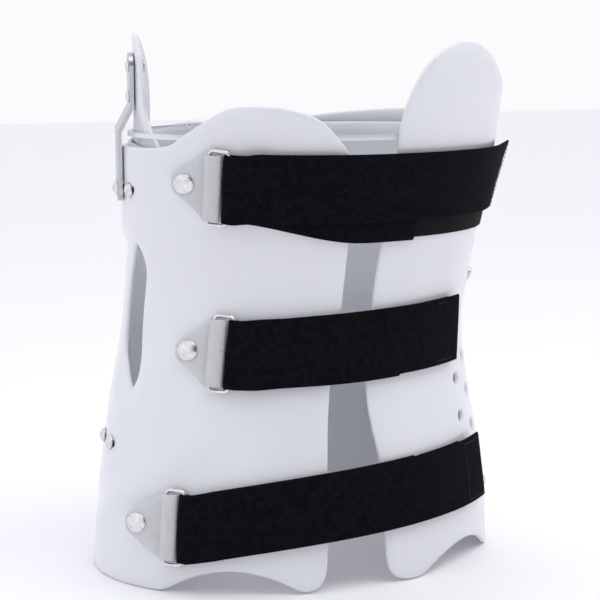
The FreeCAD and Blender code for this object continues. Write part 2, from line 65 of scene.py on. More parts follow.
def torsoRow(z):
    rows = torso["rows"]
    share = min(max(z / torso["height"], 0.0), 1.0)
    i = 0
    while i < len(rows) - 2 and share > rows[i + 1][0]:
        i += 1
    before, low = rows[max(i - 1, 0)], rows[i]
    high, after = rows[i + 1], rows[min(i + 2, len(rows) - 1)]
    span = high[0] - low[0]
    s = (share - low[0]) / span
    out = []
    for k in range(1, 6):
        m0 = (high[k] - before[k]) / (high[0] - before[0]) * span
        m1 = (after[k] - low[k]) / (after[0] - low[0]) * span
        v = ((2*s**3 - 3*s**2 + 1)*low[k] + (s**3 - 2*s**2 + s)*m0 + (3*s**2 - 2*s**3)*high[k]
             + (s**3 - s**2)*m1)
        out.append(v * 0.001)
    return out


def skin(t, z, offset=0.0):
    a, f, b, cx, cy = torsoRow(z)
    c, s = math.cos(math.radians(t)), math.sin(math.radians(t))
    d = f if c > 0 else b
    return Vector((cx + (a + offset)*s + shiftX, cy - (d + offset)*c + shiftY, z))


def skinNormal(t, z):
    du = skin(t + 0.5, z) - skin(t - 0.5, z)
    dv = skin(t, z + 0.002) - skin(t, z - 0.002)
    n = du.cross(dv).normalized()
    return n if n.dot(skin(t, z, 0.01) - skin(t, z)) > 0 else -n


def atX(x, z, behind=False):   # angle where the torso is x mm from its own origin
    a, f, b, cx, cy = torsoRow(z)
    t = math.degrees(math.asin(max(-1.0, min(1.0, (x*0.001 - cx) / a))))
    return (180.0 - t if t > 0 else -180.0 - t) if behind else t


def atY(y, z, side):           # angle where the torso is y mm forward or back, on one side
    a, f, b, cx, cy = torsoRow(z)
    d = f if y*0.001 < cy else b
    return side * math.degrees(math.acos(max(-1.0, min(1.0, (cy - y*0.001) / d))))


def smoothLine(points, step):  # Catmull-Rom through the points, then even spacing
    dense = []
    p = [points[0]] + list(points) + [points[-1]]
    for i in range(1, len(p) - 2):
        for k in range(24):
            s = k / 24
            dense.append(tuple(
                0.5*((2*b) + (c - a)*s + (2*a - 5*b + 4*c - d)*s*s + (3*b - a - 3*c + d)*s**3)
                for a, b, c, d in zip(p[i-1], p[i], p[i+1], p[i+2])))
    dense.append(tuple(points[-1]))
    return evenly(dense, step)


def evenly(points, step, closed=False):
    pts = list(points) + ([points[0]] if closed else [])
    run = [0.0]
    for a, b in zip(pts[:-1], pts[1:]):
        run.append(run[-1] + math.dist(a, b))
    n = max(2, round(run[-1] / step))
    out, j = [], 0
    for i in range(n + (0 if closed else 1)):
        d = run[-1] * i / n
        while j < len(run) - 2 and run[j+1] < d:
            j += 1
        w = (d - run[j]) / max(run[j+1] - run[j], 1e-9)
        out.append(tuple(a + (b - a)*w for a, b in zip(pts[j], pts[j+1])))
    return out


# mesh helpers
def newObject(name, verts, faces, smooth=True):
    mesh = bpy.data.meshes.new(name)
    mesh.from_pydata([tuple(v) for v in verts], [], faces)
    mesh.update()
    if smooth:
        mesh.shade_smooth()
    obj = bpy.data.objects.new(name, mesh)
    bpy.context.scene.collection.objects.link(obj)
    return obj


def facesOut(obj, splitOver=0):  # normals outward; faces with more corners than splitOver become triangles
    bm = bmesh.new()
    bm.from_mesh(obj.data)
    if splitOver:
        bmesh.ops.triangulate(bm, faces=[f for f in bm.faces if len(f.verts) > splitOver])
    bmesh.ops.recalc_face_normals(bm, faces=bm.faces)
    bm.to_mesh(obj.data)
    bm.free()
    obj.data.shade_smooth()
    return obj


def inside(p, loop):
    hit, j = False, len(loop) - 1
    for i in range(len(loop)):
        a, b = loop[i], loop[j]
        if (a[1] > p[1]) != (b[1] > p[1]) and p[0] < (b[0]-a[0])*(p[1]-a[1])/(b[1]-a[1]) + a[0]:
            hit = not hit
        j = i
    return hit


def areaOf(loop):
    return sum(a[0]*b[1] - b[0]*a[1] for a, b in zip(loop, loop[1:] + loop[:1])) / 2


def softened(loop, times):     # rounds the corners of a closed line
    for _ in range(times):
        loop = [tuple((a + 2*b + c)/4 for a, b, c in zip(loop[i-1], loop[i], loop[(i+1) % len(loop)]))
                for i in range(len(loop))]
    return loop


def movedIn(loop, distance):   # a counter-clockwise line moves to its left
    out = []
    for i in range(len(loop)):
        a, b = Vector(loop[i-1]), Vector(loop[(i+1) % len(loop)])
        d = (b - a).normalized()
        out.append((loop[i][0] - d.y*distance, loop[i][1] + d.x*distance))
    return out


def flat(t, z):
    return (math.radians(t) * torso["metric"], z)


def arcSpeed(t, z):
    return (skin(t + 0.5, z) - skin(t - 0.5, z)).length / math.radians(1.0)


def flatSlot(t, z, radius, reach=0.0, count=28):   # round hole, or a slot along the torso
    k = torso["metric"] / arcSpeed(t, z)
    s0, z0 = flat(t, z)
    out = []
    for i in range(count):
        a = 2*math.pi*(i + 0.5)/count
        c = math.cos(a)
        out.append((s0 + (radius*c + math.copysign(reach, c))*k, z0 + radius*math.sin(a)))
    return out


def shellPiece(name, outline, holes, low, high, sculpt, roundness=0.8, step=0.0055, flush=None):
    half = (high - low) / 2
    if areaOf(outline) < 0:
        outline = outline[::-1]
    moved = movedIn(outline, half*roundness)
    if flush:
        moved = [(o[0], m[1]) if flush(math.degrees(o[0]/torso["metric"]), o[1]) else m
                 for o, m in zip(outline, moved)]
    outline = moved
    loops = [outline] + [h if areaOf(h) < 0 else h[::-1] for h in holes]
    pts, edges = [], []
    for loop in loops:
        start = len(pts)
        pts += loop
        edges += [(start + i, start + (i + 1) % len(loop)) for i in range(len(loop))]
    near = kdtree.KDTree(len(pts))
    for i, p in enumerate(pts):
        near.insert((p[0], p[1], 0), i)
    near.balance()
    xs, zs = [p[0] for p in outline], [p[1] for p in outline]
    row = 0
    z = min(zs)
    while z < max(zs):
        x = min(xs) + (step/2 if row % 2 else 0)
        while x < max(xs):
            if near.find((x, z, 0))[2] > step*0.62 and inside((x, z), outline):
                if not any(inside((x, z), h) for h in loops[1:]):
                    pts.append((x, z))
            x += step
        z += step*0.87
        row += 1
    out = geometry.delaunay_2d_cdt([Vector(p) for p in pts], edges, [], 0, 1e-7)
    flatVerts, tris, origin = out[0], out[2], out[3]
    where = {}
    for i, ids in enumerate(origin):
        for j in ids:
            where[j] = i
    keep = []
    for f in tris:
        c = ((flatVerts[f[0]][0] + flatVerts[f[1]][0] + flatVerts[f[2]][0])/3,
             (flatVerts[f[0]][1] + flatVerts[f[1]][1] + flatVerts[f[2]][1])/3)
        if inside(c, outline) and not any(inside(c, h) for h in loops[1:]):
            a, b, d = (flatVerts[k] for k in f)
            ccw = (b[0]-a[0])*(d[1]-a[1]) - (b[1]-a[1])*(d[0]-a[0]) > 0
            keep.append(tuple(f) if ccw else tuple(reversed(f)))
    outer, inner, normals = [], [], []
    for p in flatVerts:
        t, z = math.degrees(p[0] / torso["metric"]), p[1]
        n = skinNormal(t, z)
        lift = n * sculpt(t, z)
        outer.append(skin(t, z, high) + lift)
        inner.append(skin(t, z, low) + lift)
        normals.append(n)
    count = len(flatVerts)
    verts = outer + inner
    faces = list(keep) + [(a + count, c + count, b + count) for a, b, c in keep]
    at = 0
    for loop in loops:
        ids = [where[at + i] for i in range(len(loop))]
        at += len(loop)
        rings = [ids]
        for k in range(1, 4):
            angle = math.radians(90 - 45*k)
            start = len(verts)
            for i, v in enumerate(ids):
                along = outer[ids[(i + 1) % len(ids)]] - outer[ids[i-1]]
                m = along.cross(normals[v]).normalized()
                mid = (outer[v] + inner[v]) / 2
                up = (outer[v] - inner[v]) / 2
                push = half*roundness
                if flush and flush(math.degrees(flatVerts[v][0] / torso["metric"]), flatVerts[v][1]):
                    push = 0.0
                verts.append(mid + up*math.sin(angle) + m*push*math.cos(angle))
            rings.append(list(range(start, start + len(ids))))
        rings.append([v + count for v in ids])
        for r0, r1 in zip(rings[:-1], rings[1:]):
            for i in range(len(ids)):
                j = (i + 1) % len(ids)
                faces.append((r0[j], r0[i], r1[i], r1[j]))
    obj = newObject(name, verts, faces)
    if flush:              # a crisp edge where two halves meet
        seam = {i for i, p in enumerate(flatVerts) if flush(math.degrees(p[0]/torso["metric"]), p[1])}
        seam |= {i + count for i in seam}
        for edge in obj.data.edges:
            edge.use_edge_sharp = edge.vertices[0] in seam and edge.vertices[1] in seam
    print("shell", name, len(verts), "points")
    return obj


# shells
shells = {
    "thickness": 0.004, "edgeStep": 0.0026, "softening": 5, "rearRight": 56.0, "rearLeft": 6.0,
    "frontReach": 0.985,   # share of the half width where the top edge passes from front to side
    "rightEdge": [(-50, 0), (-38, 3), (-32, 13), (-30, 40), (-28.5, 90), (-24, 146), (-12, 206), (-8.5, 254),
                  (-10.5, 290), (-14.8, 316.5), (-20.2, 325), (-39.4, 344), (-62, 352), (-81, 353.5), (-98.6, 351),
                  (-118.5, 333), (-129.4, 323), (-175, 319)],
    "leftEdge": [(38, 0), (25, 3), (17, 13), (14, 45), (12.2, 92), (7.7, 116), (4.6, 147), (12.3, 205), (17.8, 255),
                 (20.4, 315), (23, 345), (31.7, 367.5), (46, 386), (68, 397), (93, 396), (118, 382), (136, 366),
                 (152, 355), (180, 351)],
    "window": [(-11, 252), (-17, 246), (-21, 236), (-21.5, 228), (-19, 205), (-20, 184), (-23, 162), (-22, 150),
               (-17, 141.5), (-10, 147), (-2, 158), (5, 167), (9, 179), (10, 200), (6, 222), (0, 236), (-5, 246)],
    "arch": [(-66, -8), (-50, 0), (-26, 13), (0, 18), (26, 13), (50, 0), (66, -8)],
    "archAngle": 46.0,
    "backTop": [(-180, 319), (-120, 326), (-60, 334), (0, 330), (60, 337), (120, 342), (180, 344)],
    "seatArch": [(-70, -8), (-52, 0), (-28, 16), (0, 22), (28, 16), (52, 0), (70, -8)],
}
screwPlaces = {
    "right_upper": ((-90.0, 290.0), (-101.0, 290.0)), "right_lower": ((-91.5, 99.0), (-102.5, 100.0)),
    "left_upper": ((69.0, 216.0), (80.0, 216.0)), "left_lower": ((70.0, 46.0), (80.5, 46.0)),
}
vents = {
    "radius": 0.0058, "edge": 0.0002,
    "columns": ((45.0, (140, 110.5)), (56.0, (154, 127, 99)), (66.0, (144, 116)), (76.0, (154, 127))),
}
screwSlot = {"radius": 0.0037, "reach": 0.0043}


def heightOn(line, x):
    pts = sorted(line)
    for a, b in zip(pts[:-1], pts[1:]):
        if a[0] <= x <= b[0]:
            return a[1] + (b[1] - a[1])*(x - a[0])/(b[0] - a[0])
    return -99.0


archLine = smoothLine(shells["arch"], 1.0)
seatLine = smoothLine(shells["seatArch"], 1.0)
backTopLine = smoothLine(shells["backTop"], 1.0)


def lowerEdge(t):              # mm above the floor, arched over each thigh
    p = skin(t, 0.004)
    x, y = p.x*1000 - shiftX*1000, p.y*1000 - shiftY*1000
    side = -1.0 if t < 0 else 1.0
    a = math.radians(shells["archAngle"])
    across = x*math.cos(a) + y*math.sin(a)*side if abs(t) < 90 else 99.0
    return max(0.0, heightOn(archLine, across))


def frontOutline(edge, side, rear):
    line = smoothLine(edge, 2.0)
    top = []
    for x, z in line:
        a, f, b, cx, cy = torsoRow(z*0.001)
        if abs(x*0.001 - cx) > a*shells["frontReach"]:
            break
        top.append(flat(atX(x, z*0.001), z*0.001))
    tEnd = math.degrees(top[-1][0] / torso["metric"])
    zEnd = top[-1][1]
    farX = (torsoRow(zEnd)[3] + side*torsoRow(zEnd)[0]) * 1000
    zFar = heightOn([(abs(p[0]), p[1]) for p in line], abs(farX)) * 0.001
    tRear = atY(rear, zFar, side)
    for k in range(1, 16):
        w = k/15
        top.append(flat(tEnd + (tRear - tEnd)*w, zEnd + (zFar - zEnd)*min(1.0, w*2)))
    rearPts = [flat(atY(rear, zFar*(1 - k/80), side), zFar*(1 - k/80)) for k in range(1, 81)]
    tLow = math.degrees(rearPts[-1][0] / torso["metric"])
    tFirst = math.degrees(top[0][0] / torso["metric"])
    bottom = []
    for k in range(1, 120):
        t = tLow + (tFirst - tLow)*k/120
        bottom.append(flat(t, lowerEdge(t)*0.001))
    loop = evenly(top + rearPts + bottom, shells["edgeStep"], closed=True)
    return softened(loop, shells["softening"])


def bell(v, centre, width):
    return math.exp(-((v - centre) / width)**2)


def step01(v):
    v = min(max(v, 0.0), 1.0)
    return v*v*(3 - 2*v)


mouldings = {                  # angles in degrees, heights in mm, rises in metres
    "bandAngle": -108, "bandSpread": 15, "bandFade": 222, "bandStep": 254, "bandTop": 300,
    "bandSink": 0.0022, "bandSwell": 0.0012,
    "lipAngle": -84, "lipHeight": 150, "lipRadius": 21, "lipTop": 168, "lipRear": -66, "lipRise": 0.0014,
    "foldAngle": -41, "foldHeight": 232, "foldEnd": -20, "foldRise": 0.0012,
    "crestHeight": 338, "crestRise": 0.0010,
    "flareAngle": -92, "flareFrom": 45, "flareSlope": 0.6, "flareHeight": 72, "flareRise": 0.0024,
    "crease": 0.0009, "leftFlareAngle": 62, "leftFlareHeight": 50, "leftFlareRise": 0.0014,
    "leftCreaseAngle": 50, "leftCrease": 0.001,
    "leftFoldAngle": 30, "leftFoldEnd": 60, "leftFoldHeight": 235,
}


def rightForm(t, z):           # soft mouldings of the right front shell
    m, zz = mouldings, z*1000
    band = bell(t, m["bandAngle"], m["bandSpread"])
    lift = -m["bandSink"]*band*step01((m["bandStep"] - zz)/7)*step01((zz - m["bandFade"])/26)
    lift += m["bandSwell"]*band*step01((zz - m["bandStep"] + 4)/8)*step01((m["bandTop"] - zz)/36)
    lip = math.hypot((t - m["lipAngle"])*2.0, (zz - m["lipHeight"])*0.9)   # round the window's lower end
    lift += m["lipRise"]*bell(lip, m["lipRadius"], 4)*step01((m["lipTop"] - zz)/16)*step01((m["lipRear"] - t)/8)
    fold = bell(zz, m["foldHeight"], 30)*step01((m["foldEnd"] - t)/14)     # upright, beside the breastbone
    lift += m["foldRise"]*step01((t - m["foldAngle"])/5)*fold
    lift += m["crestRise"]*bell(t, m["foldAngle"], 5)*bell(zz, m["crestHeight"], 16)
    flare = m["flareAngle"] + (zz - m["flareFrom"])*m["flareSlope"]        # slanting ridge of the hip flare
    lift += m["flareRise"]*bell(t, flare, 8)*bell(zz, m["flareHeight"], 36)
    lift -= m["crease"]*bell(t, flare + 17, 6)*bell(zz, m["flareHeight"], 36)
    lift -= m["crease"]*bell(t, flare - 16, 6)*bell(zz, m["flareHeight"] - 6, 30)
    return lift


def leftForm(t, z):
    m, zz = mouldings, z*1000
    lift = m["leftFlareRise"]*bell(t, m["leftFlareAngle"], 9)*bell(zz, m["leftFlareHeight"], 40)
    lift -= m["leftCrease"]*bell(t, m["leftCreaseAngle"], 8)*bell(zz, m["leftFlareHeight"] + 10, 40)
    fold = step01((t - m["leftFoldAngle"])/6)*step01((m["leftFoldEnd"] - t)/20)
    lift += m["foldRise"]*fold*bell(zz, m["leftFoldHeight"], 34)
    return lift


def windowLoop():
    pts = smoothLine(shells["window"] + shells["window"][:1], 2.0)[:-1]
    return [flat(atY(y, z*0.001, -1), z*0.001) for y, z in pts]


rightHoles = [windowLoop()]
leftHoles = []
for pair, places in screwPlaces.items():
    for t, z in places:
        hole = flatSlot(t, z*0.001, screwSlot["radius"], screwSlot["reach"])
        (rightHoles if pair.startswith("right") else leftHoles).append(hole)
for t, heights in vents["columns"]:
    for z in heights:
        leftHoles.append(flatSlot(t, z*0.001, vents["radius"] + vents["edge"], count=32))

rightLine = frontOutline(shells["rightEdge"], -1, shells["rearRight"])
leftLine = frontOutline(shells["leftEdge"], 1, shells["rearLeft"])
rightFront = shellPiece("rightFrontShell", rightLine, rightHoles, 0.0, shells["thickness"], rightForm)
leftFront = shellPiece("leftFrontShell", leftLine, leftHoles, 0.0, shells["thickness"], leftForm)


# the inner back: two halves that meet down the spine
def plainForm(t, z):
    return 0.0


backSkin = {
    "rightSide": [(-28, 318), (-28, 264), (22, 258), (22, 132), (-28, 124), (-28, 74), (10, 2)],
    "leftSide": [(-12, 340), (-12, 252), (-54, 238), (-54, 198), (-12, 188), (-12, 80), (-54, 70), (-54, 24),
                 (-12, 2)],
    "flexLine": 0.095, "flexHalfWidth": 0.022, "low": -0.0045, "high": -0.0005,
}


def backOutline(corners, side):
    topLine = []
    for k in range(41):
        x = side*150.0*k/40
        z = heightOn(backTopLine, x)*0.001
        t = atX(x, z, behind=True)
        if k == 0:
            t = side*180.0
        topLine.append((t, z))
    startY = corners[0][0]
    tLast, zLast = topLine[-1]
    tCorner = atY(startY, zLast, side)
    for k in range(1, 13):
        topLine.append((tLast + (tCorner - tLast)*k/12, zLast))
    sideLine = []
    pts = [(startY, zLast*1000)] + corners[1:]
    for a, b in zip(pts[:-1], pts[1:]):
        for k in range(1, 11):
            y, z = a[0] + (b[0] - a[0])*k/10, a[1] + (b[1] - a[1])*k/10
            sideLine.append((atY(y, z*0.001, side), z*0.001))
    tLow = sideLine[-1][0]
    hem = []
    for k in range(1, 61):
        t = tLow + (side*180.0 - tLow)*k/60
        x = (skin(t, 0.004).x - shiftX)*1000
        hem.append((t, max(0.0, heightOn(seatLine, x))*0.001 if abs(t) > 95 else 0.0))
    path = evenly([flat(t, z) for t, z in topLine + sideLine + hem], shells["edgeStep"])
    for _ in range(shells["softening"]):
        path = [path[0]] + [tuple((a + 2*b + c)/4 for a, b, c in zip(path[i-1], path[i], path[i+1]))
                            for i in range(1, len(path) - 1)] + [path[-1]]
    low, high = path[-1][1], path[0][1]
    rows = int((high - low) / shells["edgeStep"])
    spine = [(path[0][0], low + (high - low)*k/rows) for k in range(1, rows)]
    return path + spine


def onSpine(t, z):
    return abs(t) > 179.9


low, high = backSkin["low"], backSkin["high"]
rightLine, leftLine = backOutline(backSkin["rightSide"], -1), backOutline(backSkin["leftSide"], 1)
backRight = shellPiece("backSkinRight", rightLine, [], low, high, plainForm, flush=onSpine)
backLeft = shellPiece("backSkinLeft", leftLine, [], low, high, plainForm, flush=onSpine)

underarm = {
    "side": [(-37, 280), (-42, 305), (-38, 322), (-29, 334.5), (-22, 349), (-21.5, 367), (-16, 388), (-2, 401),
             (16, 403), (32, 390), (41, 366), (45, 332), (43, 298), (32, 272), (6, 267), (-20, 269)],
    "low": -0.009, "high": -0.005,
}
sideLoop = smoothLine(underarm["side"] + underarm["side"][:1], 2.0)[:-1]
underarmShell = shellPiece("underarmShell", [flat(atY(y, z*0.001, -1), z*0.001) for y, z in sideLoop], [],
                           underarm["low"], underarm["high"], plainForm)
print("stage: shells built")


# joints give each loop its place: rear wire, front wire, and the directions along and across the strap
joints = {j["name"]: j for j in frame["record"]["behaviour"]["joints"]}
loopPlaces = {}
for name in ("upper", "middle", "lower"):
    rear = Vector(joints[name + "_loop_lift"]["pos_m"])
    front = Vector(joints[name + "_strap_swing"]["pos_m"])
    u = (front - rear).normalized()
    v = -Vector(joints[name + "_strap_swing"]["axis"]).normalized()
    loopPlaces[name] = {"rear": rear, "front": front, "u": u, "v": v, "n": u.cross(v).normalized()}

straps = {
    "half": 0.025, "thickness": 0.002, "foldInner": 0.0018, "restOffset": 0.0056, "flapGap": 0.0008,
    "padOffset": 0.0053, "padThickness": 0.0012, "hookThickness": 0.001, "turnEnd": 12.0, "angleStep": 4.0,
    "upper": {"angle": -48.1, "height": 0.297, "gain": (-0.003, 0.04), "start": -0.01, "sag": 0.0155, "end": 80.0,
              "lift": (0.004, 0.012), "innerEnd": 14.0, "pad": (14.6, 77.0), "padDrop": 0.0145, "reach": 0.0255},
    "middle": {"angle": -44.2, "height": 0.1746, "gain": (0.012, 0.18), "start": 0.012, "sag": 0.002, "end": 40.5,
               "lift": (0.0, 0.0005), "innerEnd": 13.0, "pad": (22.0, 37.0), "padDrop": 0.0, "reach": 0.0255},
    "lower": {"angle": -55.4, "height": 0.0485, "gain": (0.026, 0.11), "start": 0.012, "sag": 0.0, "end": 50.0,
              "lift": (0.0004, 0.001), "innerEnd": 16.0, "pad": (19.0, 38.0), "padDrop": 0.0, "reach": 0.031},
}


def alongStrap(strap, t):
    a = skin(t, strap["height"]) - skin(strap["angle"], strap["height"])
    return math.hypot(a.x, a.y)


def strapPoint(strap, t, side, offset, drop=0.0):
    gain, length = strap["gain"]
    run = max(0.0, alongStrap(strap, t) - strap["start"])
    z = strap["height"] + gain*(1 - math.exp(-run/length)) - drop
    return skin(t, z + side*straps["half"], offset)


def sagAt(strap, t):
    s = min(max((alongStrap(strap, t) - 0.008)/0.1, 0.0), 1.0)
    return strap["sag"]*s*s*(3 - 2*s)


def flapOffset(strap, t, side):
    ease = min(max((t - strap["angle"] - 10.0)/16.0, 0.0), 1.0)
    d = straps["restOffset"] + straps["thickness"] + straps["flapGap"] + 0.0034*(1 - ease)**2
    tail = max(0.0, (t - strap["end"] + 22.0)/22.0)
    low, high = strap["lift"]
    return d + (low + (high - low)*(side + 1)/2)*tail**2


def station(low, high, normal):
    return tuple(low) + tuple(high) + tuple(normal*0.012)


def ribbon(name, keys, thickness, step=0.004, across=15, wave=0.0002, roundEnds=(True, True)):
    rows = smoothLine(keys, step)
    half = thickness/2
    verts, faces, loopSize = [], [], 2*across + 6
    spans = []
    for k, row in enumerate(rows):
        low, high, n = Vector(row[:3]), Vector(row[3:6]), Vector(row[6:9]).normalized()
        spans.append((low, high, n))
    for k in range(-1, len(spans) + 1):
        i = min(max(k, 0), len(spans) - 1)
        low, high, n = spans[i]
        across1 = (high - low).normalized()
        thin, out = 1.0, Vector()
        if k == -1 or k == len(spans):
            j = 1 if k == -1 else len(spans) - 2
            ahead = ((low + high) - (spans[j][0] + spans[j][1])).normalized()
            ends = roundEnds[0] if k == -1 else roundEnds[1]
            thin, out = (0.5, ahead*half*0.8) if ends else (1.0, ahead*0.00005)
        ring = []
        width = (high - low).length
        for sign in (1, -1):
            order = range(across) if sign > 0 else range(across - 1, -1, -1)
            for a in order:
                w = a/(across - 1)
                p = low + across1*(half + (width - 2*half)*w) + out
                p += n*wave*noise.noise(p*38.0)*2
                ring.append(p + n*half*thin*sign)
            edge = (high - across1*half if sign > 0 else low + across1*half) + out
            side = across1 if sign > 0 else -across1
            edge += n*wave*noise.noise(edge*38.0)*2
            for angle in (50, 0, -50):
                c, s = math.cos(math.radians(angle)), math.sin(math.radians(angle))
                ring.append(edge + side*half*c*thin + n*half*s*thin*sign)
        verts += ring
    total = len(spans) + 2
    for k in range(total - 1):
        for i in range(loopSize):
            a, b = k*loopSize + i, k*loopSize + (i + 1) % loopSize
            faces.append((a, b, b + loopSize, a + loopSize))
    for k, turn in ((0, True), (total - 1, False)):
        base = k*loopSize
        loop = [base + i for i in range(loopSize)]
        faces.append(tuple(reversed(loop)) if turn else tuple(loop))
    return facesOut(newObject(name, verts, faces), 4)


def layerStation(strap, t, offset, drop):
    low = strapPoint(strap, t, -1, offset(t, -1), drop)
    high = strapPoint(strap, t, 1, offset(t, 1), drop)
    mid = strap["height"] + strap["gain"][0]*0.5
    return station(low, high, skinNormal(t, mid))


def foldStation(place, centre, radius, angle, normalSign):
    a = math.radians(angle)
    arm = place["u"]*math.cos(a) + place["n"]*math.sin(a)
    p = centre + arm*radius
    return station(p - place["v"]*straps["half"], p + place["v"]*straps["half"], arm*normalSign)


def straightStation(place, ahead, rise):    # next to the fold, where the strap is still flat
    p = place["front"] + place["u"]*ahead + place["n"]*rise
    return station(p - place["v"]*straps["half"], p + place["v"]*straps["half"], place["n"])


def patchStation(strap, t, side, offset, drop=0.0):   # hook patches and pads are a little narrower
    low = strapPoint(strap, t, -side, offset(t, -side), drop)
    high = strapPoint(strap, t, side, offset(t, side), drop)
    return station(low, high, skinNormal(t, strap["height"]))


strapPieces = {}
for name in ("upper", "middle", "lower"):
    strap, place = straps[name], loopPlaces[name]
    thickness, cap = straps["thickness"], name.capitalize()
    middle = straps["foldInner"] + thickness/2
    turn = strap["angle"] + straps["turnEnd"]

    def innerOffset(t, side):
        return straps["restOffset"] + thickness/2

    def outerOffset(t, side):
        return flapOffset(strap, t, side) + thickness/2

    def hookOffset(t, side):
        return flapOffset(strap, t, side) - straps["hookThickness"]/2

    def padOffset(t, side):
        return straps["padOffset"]

    keys = []
    t = strap["innerEnd"]
    while t > turn + 0.5:
        keys.append(layerStation(strap, t, innerOffset, sagAt(strap, t)))
        t -= straps["angleStep"]
    keys.append(layerStation(strap, turn, innerOffset, sagAt(strap, turn)))
    keys += [straightStation(place, ahead, -middle) for ahead in (0.006, 0.003)]
    for angle in range(270, 80, -15):
        keys.append(foldStation(place, place["front"], middle, angle, -1))
    strapPieces[name] = ribbon("strap" + cap, keys, thickness, step=0.0035, roundEnds=(True, False))

    keys = [straightStation(place, ahead, middle) for ahead in (0.0, 0.003, 0.006)]
    t = turn
    while t < strap["end"] - 2.0:
        keys.append(layerStation(strap, t, outerOffset, 0.0))
        t += straps["angleStep"]
    keys.append(layerStation(strap, strap["end"], outerOffset, 0.0))
    strapPieces[name + "Flap"] = ribbon("flap" + cap, keys, thickness, step=0.0035, roundEnds=(False, True))

    keys = [patchStation(strap, strap["end"] - back, 0.92, hookOffset) for back in (12.0, 8.0, 4.5, 1.0)]
    strapPieces[name + "Hook"] = ribbon("hook" + cap, keys, straps["hookThickness"], step=0.003, wave=0.00005)
    padLow, padHigh = strap["pad"]
    keys = [patchStation(strap, padLow + (padHigh - padLow)*k/8, 0.96, padOffset, strap["padDrop"])
            for k in range(9)]
    strapPieces[name + "Pad"] = ribbon("pad" + cap, keys, straps["padThickness"], step=0.003, wave=0.00005)
print("stage: straps built")


# tabs: a plate from the rivet that widens and rolls round the rear wire
tab = {
    "thickness": 0.0018, "rollRise": 0.00275, "rollReach": 0.0056, "rollCentre": 0.00285, "half": 0.0245,
    "rivetInset": 0.007, "tail": 0.0085,
    "plate": [(0.0, 0.005), (0.002, 0.0078), (0.0045, 0.0095), (0.009, 0.0118), (0.016, 0.0177)],
}


def tabPiece(name):
    place, reach = loopPlaces[name], straps[name]["reach"]
    floor = -tab["rollRise"]
    rearU = -reach + tab["rivetInset"] - tab["tail"]
    keys = []

    def add(p, half, normal):
        keys.append(station(p - place["v"]*half, p + place["v"]*half, normal))

    plate = [(rearU + s, half) for s, half in tab["plate"]]
    for s, half in plate + [(-0.004, tab["half"]), (0.0, tab["half"])]:
        add(place["rear"] + place["u"]*s + place["n"]*floor, half, place["n"])
    for angle in range(270, 600, 15):
        a = math.radians(angle)
        across, up = math.cos(a), math.sin(a)
        p = place["rear"] + place["u"]*(tab["rollCentre"] + tab["rollReach"]*across)
        p += place["n"]*tab["rollRise"]*up
        inward = place["u"]*(-across/tab["rollReach"]) - place["n"]*(up/tab["rollRise"])
        add(p, tab["half"], inward.normalized())
    return ribbon("tab" + name.capitalize(), keys, tab["thickness"], step=0.0022, across=9, wave=0.00005)


def sweptRing(name, path, up, radius, sides):
    verts, faces = [], []
    count = len(path)
    for i, p in enumerate(path):
        ahead = (path[(i + 1) % count] - path[i-1]).normalized()
        side = ahead.cross(up).normalized()
        for k in range(sides):
            a = 2*math.pi*k/sides
            verts.append(p + side*radius*math.cos(a) + up*radius*math.sin(a))
    for i in range(count):
        j = (i + 1) % count
        for k in range(sides):
            m = (k + 1) % sides
            faces.append((i*sides + k, j*sides + k, j*sides + m, i*sides + m))
    return facesOut(newObject(name, verts, faces))


loopRing = {"wire": 0.0014, "clear": 0.0009, "corner": 0.003, "sides": 14}
tabPieces, loopPieces = {}, {}
for name, place in loopPlaces.items():
    tabPieces[name] = tabPiece(name)
    centre = (place["rear"] + place["front"])/2
    hu = (place["front"] - place["rear"]).length/2
    hv = straps["half"] + loopRing["clear"] + loopRing["wire"]
    corner = loopRing["corner"]
    path = []
    for su, sv, first in ((1, 1, 0), (-1, 1, 90), (-1, -1, 180), (1, -1, 270)):
        for k in range(7):
            a = math.radians(first + 15*k)
            path.append(centre + place["u"]*(su*(hu - corner) + corner*math.cos(a))
                        + place["v"]*(sv*(hv - corner) + corner*math.sin(a)))
    loopPieces[name] = sweptRing("loop" + name.capitalize(), path, place["n"], loopRing["wire"],
                                 loopRing["sides"])
print("stage: tabs and loops built")


# small metal parts: lathed prototypes set out by Geometry Nodes
def lathe(name, profile, sides=28, hexRadius=0.0, hexDepth=0.0):
    verts, faces = [], []
    rings = []
    for r, h in ((r*0.001, h*0.001) for r, h in profile):
        if r <= 0.0:
            rings.append([len(verts)])
            verts.append(Vector((0, 0, h)))
        else:
            rings.append(list(range(len(verts), len(verts) + sides)))
            for k in range(sides):
                a = 2*math.pi*k/sides
                rr = r
                if hexRadius and abs(r - hexRadius) < 1e-9:
                    fold = math.fmod(a, math.pi/3) - math.pi/6
                    rr = r*math.cos(math.pi/6)/math.cos(fold)
                verts.append(Vector((rr*math.cos(a), rr*math.sin(a), h)))
    for low, high in zip(rings[:-1], rings[1:]):
        for k in range(sides):
            m = (k + 1) % sides
            if len(low) == 1:
                faces.append((low[0], high[k], high[m]))
            elif len(high) == 1:
                faces.append((low[k], low[m], high[0]))
            else:
                faces.append((low[k], low[m], high[m], high[k]))
    return facesOut(newObject(name, verts, faces))


def joinUp(links, *pairs):
    for source, output, target, socket in pairs:
        links.new(source.outputs[output], target.inputs[socket])


